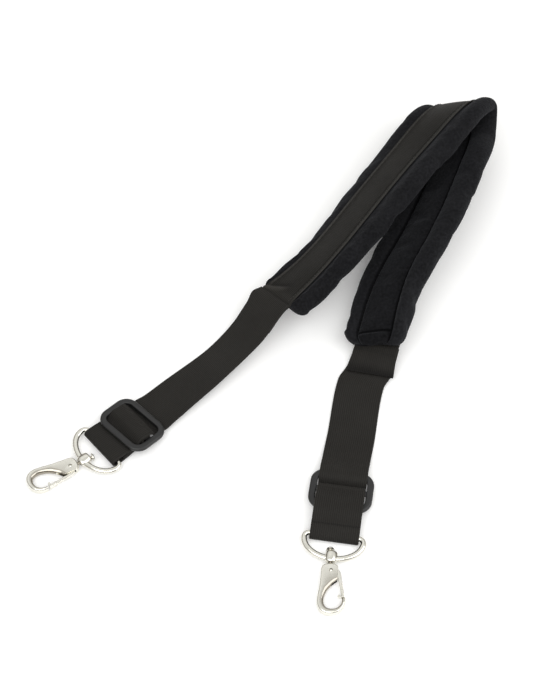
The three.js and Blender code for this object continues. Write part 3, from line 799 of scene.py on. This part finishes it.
# ---- strap sliders ---------------------------------------------------------------------------
# Moulded dark grey plastic frames with large round corners and one middle bar. The webbing comes
# up through the first window, crosses the middle bar and goes down again through the second.
SLIDER_WIDTH = 66
SLIDER_BOW = 0.8                  # how far its short sides stand out in their middles
SLIDER_CORNER = 14
SLIDER_WINDOW = (51.5, 33)
WINDOW_CORNER = 7
SLIDER_MIDDLE = 6
RIM_THICK = SLIDER_THICK + 0.8
RIM_OUTSIDE, RIM_INSIDE = (2.6, 2.1), (1.1, 1.3)     # rounding of its edges: width and depth
BAR_THICK = SLIDER_THICK - 0.8
SLIDER_TURN = {"left": math.radians(5.5), "right": 0.0}
CORNER_STEPS = 8


def placed(origin, x, y, z):
    """From a piece's own millimetres to metres."""
    axes = Matrix((x, y, z)).transposed() * MM
    return Matrix.Translation(origin) @ axes.to_4x4()


def rounded_outline(width, height, radius, bow):
    """Corner after corner; the two short sides stand out by bow in their middles."""
    points = []
    for quarter in range(4):
        side_x = 1 if quarter in (0, 3) else -1
        side_y = 1 if quarter < 2 else -1
        for i in range(CORNER_STEPS + 1):
            turn = math.pi / 2 * (quarter + i / CORNER_STEPS)
            x = side_x * (width / 2 - radius) + radius * math.cos(turn)
            y = side_y * (height / 2 - radius) + radius * math.sin(turn)
            points.append(Vector((x + math.copysign(bow * (1 - (2 * y / height) ** 2), x), y)))
    return points


def limb(name, pairs, thick, place, outer_edge, inner_edge, closed=False):
    """A casting from pair to pair of points on its outer and inner outlines, with both edges rounded.
    An edge is given as its rounding's width and depth."""
    half = thick / 2
    quarter = [math.pi / 2 * i / 5 for i in range(6)]
    sections = []
    for outer, inner in pairs:
        width = (inner - outer).length
        toward = (inner - outer) / width
        wide_out = min(outer_edge[0], width * 0.48)
        wide_in = min(inner_edge[0], width * 0.48)
        upper = [(wide_out * (1 - math.cos(turn)), half - outer_edge[1] * (1 - math.sin(turn)))
                 for turn in quarter]
        upper += [(width - wide_in * (1 - math.sin(turn)), half - inner_edge[1] * (1 - math.cos(turn)))
                  for turn in quarter]
        ring = upper + [(t, -z) for t, z in reversed(upper)]
        section = []
        for t, z in ring:
            spot = outer + toward * t
            bevel = (t - width + wide_in) / wide_in
            # Painted reflection: the inner edge's bevel is marked, most towards the opening's edge, for a
            # darker colour that stands in for the darker room it would mirror.
            painted_reflection = 0.68 * smoothstep(bevel, -0.1, 0.1) + 0.32 * smoothstep(bevel, 0.55, 1)
            section.append((place @ Vector((spot.x, spot.y, z)), spot.x * MM, spot.y * MM, painted_reflection))
        sections.append(section)
    return swept(name, sections, closed)


plastic, shader, start = material("satin_plastic", {
    "Base Color": (0.0105, 0.0105, 0.0108, 1), "Specular IOR Level": 0.5})
where = start.node("ShaderNodeTexCoord", {}, {}, "Object")
grain = start.node("ShaderNodeTexNoise", {}, {"Vector": where, "Scale": 2500.0, "Detail": 2.0}, "Fac")
rub = start.node("ShaderNodeTexNoise", {}, {"Vector": where, "Scale": 120.0, "Detail": 4.0}, "Fac")
feed(shader, "Roughness", 0.28 + 0.16 * rub)
feed(shader, "Normal", bumped(start, grain, 0.15, 0.0001))

for side, (slider_place, _) in ENDS.items():
    point, along, across, out = strap_frame(place_from_ring(side, slider_place))
    middle = STRAP_START + (point + out * SLIDER_HEIGHT + across * SLIDER_ASIDE[side]) * MM
    askew = Matrix.Rotation(SLIDER_TURN[side], 3, out)
    place = placed(middle, askew @ across, askew @ along, out)
    outline = rounded_outline(SLIDER_WIDTH - 2 * SLIDER_BOW, SLIDER_LENGTH, SLIDER_CORNER, SLIDER_BOW)
    window = rounded_outline(*SLIDER_WINDOW, WINDOW_CORNER, 0)
    rim = limb(f"{side}_slider_frame", list(zip(outline, window)), RIM_THICK, place,
               RIM_OUTSIDE, RIM_INSIDE, True)
    mesh = bmesh.new()
    bmesh.ops.create_cube(mesh, size=1)
    bmesh.ops.scale(mesh, verts=mesh.verts, vec=(SLIDER_WINDOW[0] + 2, SLIDER_MIDDLE, BAR_THICK))
    lengthwise = [edge for edge in mesh.edges if abs((edge.verts[0].co - edge.verts[1].co).x) > 1]
    bmesh.ops.bevel(mesh, geom=lengthwise, offset=1.4, segments=4, affect="EDGES", profile=0.5, material=-1)
    bmesh.ops.transform(mesh, matrix=place, verts=mesh.verts)
    bar = piece_from(mesh, "middle_bar")
    slider = join([rim, bar])
    slider.data.materials.append(plastic)
    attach(slider, "strap")
    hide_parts(f"{side}_slider")

# ---- rings -----------------------------------------------------------------------------------
# Cast, nickel plated D rings. The straight bar lies in the webbing's fold, and a barrel-shaped
# boss cast in the middle of the curve holds the hook's swivel pin.
RING_HALF = 30.2
RING_DEPTH = 26.7
RING_CORNER = 5.2
CURVE_BROADER = 0.5               # how much wider the wire is at each side on the curve
BOSS_NEAR, BOSS_FAR = 19, 31
BOSS_FLAT = 0.7                   # its thickness, as a share of its width
PIN_RADIUS = 1.7
SWIVEL_PLAY = math.radians(12)    # how far the pin can lean in the boss
SHARP_CORNER = math.radians(38)

nickel, shader, start = material("polished_nickel", {"Metallic": 1.0})
where = start.node("ShaderNodeTexCoord", {}, {}, "Object")
cloud = start.node("ShaderNodeTexNoise", {}, {"Vector": where, "Scale": 160.0, "Detail": 4.0}, "Fac")
waves = start.node("ShaderNodeTexNoise", {}, {"Vector": where, "Scale": 240.0, "Detail": 1.0}, "Fac")
# The mark attribute carries painted reflection and shade: it turns the hooks' inner bevels and the pins'
# shafts darker brown, standing in for the dark room the bevels mirror and the shadow in the gap under each
# boss.
groove = start.node("ShaderNodeAttribute", {"attribute_name": "mark"}, {}, "Fac")
plating = mixed(start, cloud, (0.72, 0.70, 0.63), (0.87, 0.86, 0.80))
feed(shader, "Base Color", mixed(start, 0.75 * groove, plating, (0.22, 0.18, 0.13)))
feed(shader, "Roughness", 0.1 + 0.16 * cloud)
feed(shader, "Normal", bumped(start, waves, 0.25, 0.0004))


def joint_frame(name):
    """Where a joint of the part is, and its axis."""
    joint = next(joint for joint in frame["joints"] if joint["name"] == name)
    return Vector(joint["pos_m"]), Vector(joint["axis"]).normalized()


def turned(name, profile, place, sides=32, flat=1.0, painted_shade_radius=None):
    """Skin of a turned shape about y: profile is a list of (radius, y). Places whose radius matches the last
    argument get the mark for painted shade.
    """
    turns = [2 * math.pi * i / sides for i in range(sides)]
    sections = [[(place @ Vector((r * math.cos(turn), y, r * flat * math.sin(turn))), 0, y * MM,
                  float(r == painted_shade_radius)) for turn in turns] for r, y in profile]
    return swept(name, sections)


def plate(name, outline, thick, place, edge=0.0):
    """A flat piece cut to an outline, lying in the middle of its own x, y plane."""
    mesh = bmesh.new()
    verts = [mesh.verts.new((x, y, -thick / 2)) for x, y in outline]
    floor_face = mesh.faces.new(verts)
    made = bmesh.ops.extrude_face_region(mesh, geom=[floor_face])["geom"]
    raised = [item for item in made if isinstance(item, bmesh.types.BMVert)]
    bmesh.ops.translate(mesh, verts=raised, vec=(0, 0, thick))
    if edge:
        rims = [e for e in mesh.edges if abs(e.verts[0].co.z - e.verts[1].co.z) < 0.01]
        bmesh.ops.bevel(mesh, geom=rims, offset=edge, segments=3, affect="EDGES", profile=0.5, material=-1,
                        clamp_overlap=True)
    bmesh.ops.transform(mesh, matrix=place, verts=mesh.verts)
    bmesh.ops.recalc_face_normals(mesh, faces=mesh.faces)
    for face in mesh.faces:
        face.smooth = True
    return piece_from(mesh, name)


def cut(piece, cutter):
    """Cuts the shape of one piece out of another and removes it."""
    knife = piece.modifiers.new("cut", "BOOLEAN")
    knife.operation = "DIFFERENCE"
    knife.solver = "EXACT"
    knife.object = cutter
    apply_modifiers(piece)
    bpy.data.objects.remove(cutter)


def finish_metal(piece, body, node):
    """Keeps the real corners sharp, gives the piece its plating and body, and hides the CAD node that it
    stands for.
    """
    mesh = bmesh.new()
    mesh.from_mesh(piece.data)
    for edge in mesh.edges:
        edge.smooth = len(edge.link_faces) != 2 or edge.calc_face_angle(0) < SHARP_CORNER
    for face in mesh.faces:
        face.smooth = True
    mesh.to_mesh(piece.data)
    mesh.free()
    piece.data.materials.clear()
    piece.data.materials.append(nickel)
    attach(piece, body)
    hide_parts(node)


for side in ENDS:
    origin, x = joint_frame(f"{side}_ring_hinge")
    z = -joint_frame(f"{side}_gate_hinge")[1]
    y = z.cross(x).normalized()
    place = placed(origin, x, y, z)
    bar = RING_HALF - RING_CORNER
    path = [Vector((-bar + 2 * bar * i / 6, 0)) for i in range(7)]
    path += [Vector((bar + RING_CORNER * math.sin(t), RING_CORNER * (1 - math.cos(t))))
             for t in (math.pi / 2 * i / 6 for i in range(1, 7))]
    path += [Vector((RING_HALF * math.cos(t), RING_CORNER + (RING_DEPTH - RING_CORNER) * math.sin(t)))
             for t in (math.pi * i / 60 for i in range(1, 60))]
    path += [Vector((-bar - RING_CORNER * math.cos(t), RING_CORNER * (1 - math.sin(t))))
             for t in (math.pi / 2 * i / 6 for i in range(6))]
    sections = []
    for i, spot in enumerate(path):
        along = (path[(i + 1) % len(path)] - path[i - 1]).normalized()
        section = []
        for k in range(14):
            turn = 2 * math.pi * k / 14
            side_x = (WIRE + CURVE_BROADER * smoothstep(spot.y, 2, RING_CORNER + 5)) * math.cos(turn)
            section.append((place @ Vector((spot.x + along.y * side_x, spot.y - along.x * side_x,
                                            WIRE * math.sin(turn))), i * MM, turn * MM))
        sections.append(section)
    wire = swept(f"{side}_d_ring", sections, True)
    barrel = turned("boss", [
        (5.0, BOSS_NEAR), (5.8, BOSS_NEAR + 0.5), (6.3, BOSS_NEAR + 1.8), (6.5, BOSS_NEAR + 4),
        (6.5, BOSS_FAR - 4), (6.2, BOSS_FAR - 1.6), (5.6, BOSS_FAR - 0.5), (4.8, BOSS_FAR),
    ], place, 32, BOSS_FLAT)
    weld = wire.modifiers.new("weld", "BOOLEAN")
    weld.operation = "UNION"
    weld.solver = "EXACT"
    weld.object = barrel
    apply_modifiers(wire)
    bpy.data.objects.remove(barrel)
    mouth = PIN_RADIUS + 0.4
    back = mouth + (BOSS_FAR - BOSS_NEAR + 2) * math.tan(SWIVEL_PLAY)
    bore = plate("bore", [
        (-mouth, BOSS_FAR + 1), (-mouth, BOSS_FAR - 1), (-back, BOSS_NEAR - 1),
        (back, BOSS_NEAR - 1), (mouth, BOSS_FAR - 1), (mouth, BOSS_FAR + 1),
    ], 2 * mouth, place)
    cut(wire, bore)
    finish_metal(wire, f"{side}_ring_body", f"{side}_ring")

# ---- swivel pins and hooks -------------------------------------------------------------------
# A round-headed pin sits loose in the boss and is pressed into the hook's head. The hook is a flat
# pear-shaped casting with a wide bevel along its opening; its head is slotted for the gate, which
# turns on a small rivet.
HOOK_THICK = 7.6
HOOK_ROUNDING, MOUTH_BEVEL = (1.9, 2.1), (4.4, 3.0)     # width and depth of its outer and inner edges
RIVET = (-0.5, 10.5)
RIVET_RADIUS = 1.6
RIVET_HOLE = RIVET_RADIUS + 0.35
HOLE_REACH = 6                    # from the middle of the hook, well past both of its faces
GATE_SLOT = 3.6
GATE_ROOM = [(-12, 7.2), (-0.5, 7.2), (2.9, 9), (2.9, 12.5), (0.5, 16), (-0.5, 30), (-12, 30)]
OUTER_LINE = [
    (-6.9, 8), (-7.7, 5.8), (-5.6, 3.3), (0, 2.3), (6, 3.1), (8.8, 6), (10, 15), (11.4, 27), (13.6, 39.5),
    (13.9, 47), (11.6, 53.4), (6.6, 57.3), (0, 58.3), (-7, 56.6), (-12, 52), (-14.3, 46), (-14.5, 41.4),
]
INNER_LINE = [
    (-6.9, 21), (-6.2, 21.4), (-5.4, 22), (-4.2, 22.9), (-2.9, 24), (-1.4, 25.5), (0.6, 27.8), (3.5, 31.5),
    (6.4, 38.2), (7.2, 44.5), (5.6, 49.5), (3, 51.6), (-0.6, 52.4), (-5.4, 51.4), (-8.8, 48.6), (-10.5, 45.4),
    (-11, 41.4),
]


def hook_place(side):
    """A hook's own axes: y along its swivel pin, z out of its face."""
    origin, y = joint_frame(f"{side}_hook_swivel")
    z = -joint_frame(f"{side}_gate_hinge")[1]
    z = (z - y * z.dot(y)).normalized()
    return placed(origin, y.cross(z), y, z)


for side in ENDS:
    place = hook_place(side)
    under = BOSS_NEAR - BOSS_FAR - 2.1
    # The pin's shaft is marked for painted shadow, as the dark gap between the boss and the hook's head.
    pin = turned(f"{side}_pin", [
        (2.4, under - 2.2), (3.4, under - 1.9), (4.0, under - 1.2), (4.2, under - 0.5), (4.2, under),
        (PIN_RADIUS + 0.1, under), (PIN_RADIUS, under + 0.5), (PIN_RADIUS, 6.2),
    ], place, 28, painted_shade_radius=PIN_RADIUS)
    finish_metal(pin, f"{side}_hook_body", f"{side}_swivel_pin")

    outer_line = through([(*spot, 0) for spot in OUTER_LINE], 5)
    inner_line = through([(*spot, 0) for spot in INNER_LINE], 5)
    pairs = [(outside.xy, inside.xy) for outside, inside in zip(outer_line, inner_line)]
    casting = limb(f"{side}_snap_hook", pairs, HOOK_THICK, place, HOOK_ROUNDING, MOUTH_BEVEL)
    cut(casting, plate("gate_slot", GATE_ROOM, GATE_SLOT, place))
    to_y = placed(place @ Vector((*RIVET, 0)), place.col[0].to_3d() / MM, place.col[2].to_3d() / MM,
                  -place.col[1].to_3d() / MM)
    cut(casting, turned("rivet_hole", [(RIVET_HOLE, -HOLE_REACH), (RIVET_HOLE, HOLE_REACH)], to_y, 24))
    finish_metal(casting, f"{side}_hook_body", f"{side}_hook")

    half = HOOK_THICK / 2
    rivet = turned(f"{side}_rivet", [
        (0.6, -half - 0.1), (1.2, -half + 0.05), (RIVET_RADIUS, -half + 0.5), (RIVET_RADIUS, half - 0.5),
        (1.2, half - 0.05), (0.6, half + 0.1)], to_y, 24)
    finish_metal(rivet, f"{side}_hook_body", f"{side}_gate_rivet")

# ---- gates -----------------------------------------------------------------------------------
# Straight plated bars that turn on the rivet and swing inwards against a hidden spring. The tip is
# thicker, shuts behind the hook's nose and has a small curl on its inner side.
GATE_BACK = [(-2, 7.9), (1.4, 8.4), (2.3, 10.5), (1.2, 12.8), (-1.2, 13.3)]
GATE_CURL = [(-10.4, 37), (-9.6, 37.6), (-8.4, 36.6), (-7, 37.2), (-6.8, 38.7), (-8.8, 39.8)]
GATE_CHEEK = [(-12.6, 31), (-9.5, 31), (-10.4, 37), (-10.4, 39.8), (-13.8, 39.8)]
GATE_CHEEK_THICK = 5
for side in ENDS:
    place = hook_place(side)
    outline = [tuple(spot.xy) for spot in through([(*spot, 0) for spot in GATE_BACK], 4)]
    outline += [(-5.6, 14.5), (-7.4, 18)]
    outline += [tuple(spot.xy) for spot in through([(*spot, 0) for spot in GATE_CURL], 4)]
    outline += [(-13.8, 39.8), (-10.2, 12), (-8.2, 8.6)]
    arm = plate(f"{side}_gate_bar", outline, GATE_SLOT - 0.8, place, 0.45)
    cheek = plate("cheek", GATE_CHEEK, GATE_CHEEK_THICK, place, 0.7)
    gate = join([arm, cheek])
    finish_metal(gate, f"{side}_gate_body", f"{side}_gate")

# ---- floor and light -------------------------------------------------------------------------
# A plain pale floor under broad soft light from the front, as on a studio table, with a bright room
# above that darkens towards the horizon, so that the plated pieces have something dark to mirror.
FLOOR_REACH = 6
mesh = bmesh.new()
bmesh.ops.create_grid(mesh, x_segments=1, y_segments=1, size=FLOOR_REACH)
floor = piece_from(mesh, "floor")
paint, _, _ = material("floor_paint", {
    "Base Color": (0.93, 0.93, 0.93, 1), "Roughness": 0.9,
    "Emission Color": (1, 1, 1, 1), "Emission Strength": 0.12})
floor.data.materials.append(paint)

world = bpy.data.worlds.new("studio")
bpy.context.scene.world = world
world.use_nodes = True
backdrop = Socket(world.node_tree, None)
direction = backdrop.node("ShaderNodeTexCoord", {}, {}, "Generated")
upward = backdrop.node("ShaderNodeSeparateXYZ", {}, {"Vector": direction}, "Z")
glow = backdrop.node("ShaderNodeMapRange", {"interpolation_type": "SMOOTHSTEP"}, {
    "Value": upward, "From Min": 0.15, "From Max": 0.7, "To Min": 0.0, "To Max": 1.0})
background = world.node_tree.nodes["Background"]
feed(background, "Color", mixed(backdrop, glow, (0.20, 0.17, 0.14), (1.0, 1.0, 0.98)))
background.inputs["Strength"].default_value = 0.8
bpy.context.scene.view_settings.view_transform = "Standard"
LAMP_SIZE = 2
for name, spot, power in (
        ("key_light", (-0.5, -1.4, 1.8), 25),
        ("fill_light", (1.5, -0.5, 1.4), 19),
        ("back_light", (-0.4, 1.6, 1.9), 2)):
    lamp = bpy.data.objects.new(name, bpy.data.lights.new(name, "AREA"))
    lamp.data.size = LAMP_SIZE
    lamp.data.energy = power
    lamp.location = spot
    lamp.rotation_euler = (-Vector(spot)).to_track_quat("-Z", "Y").to_euler()
    bpy.context.collection.objects.link(lamp)
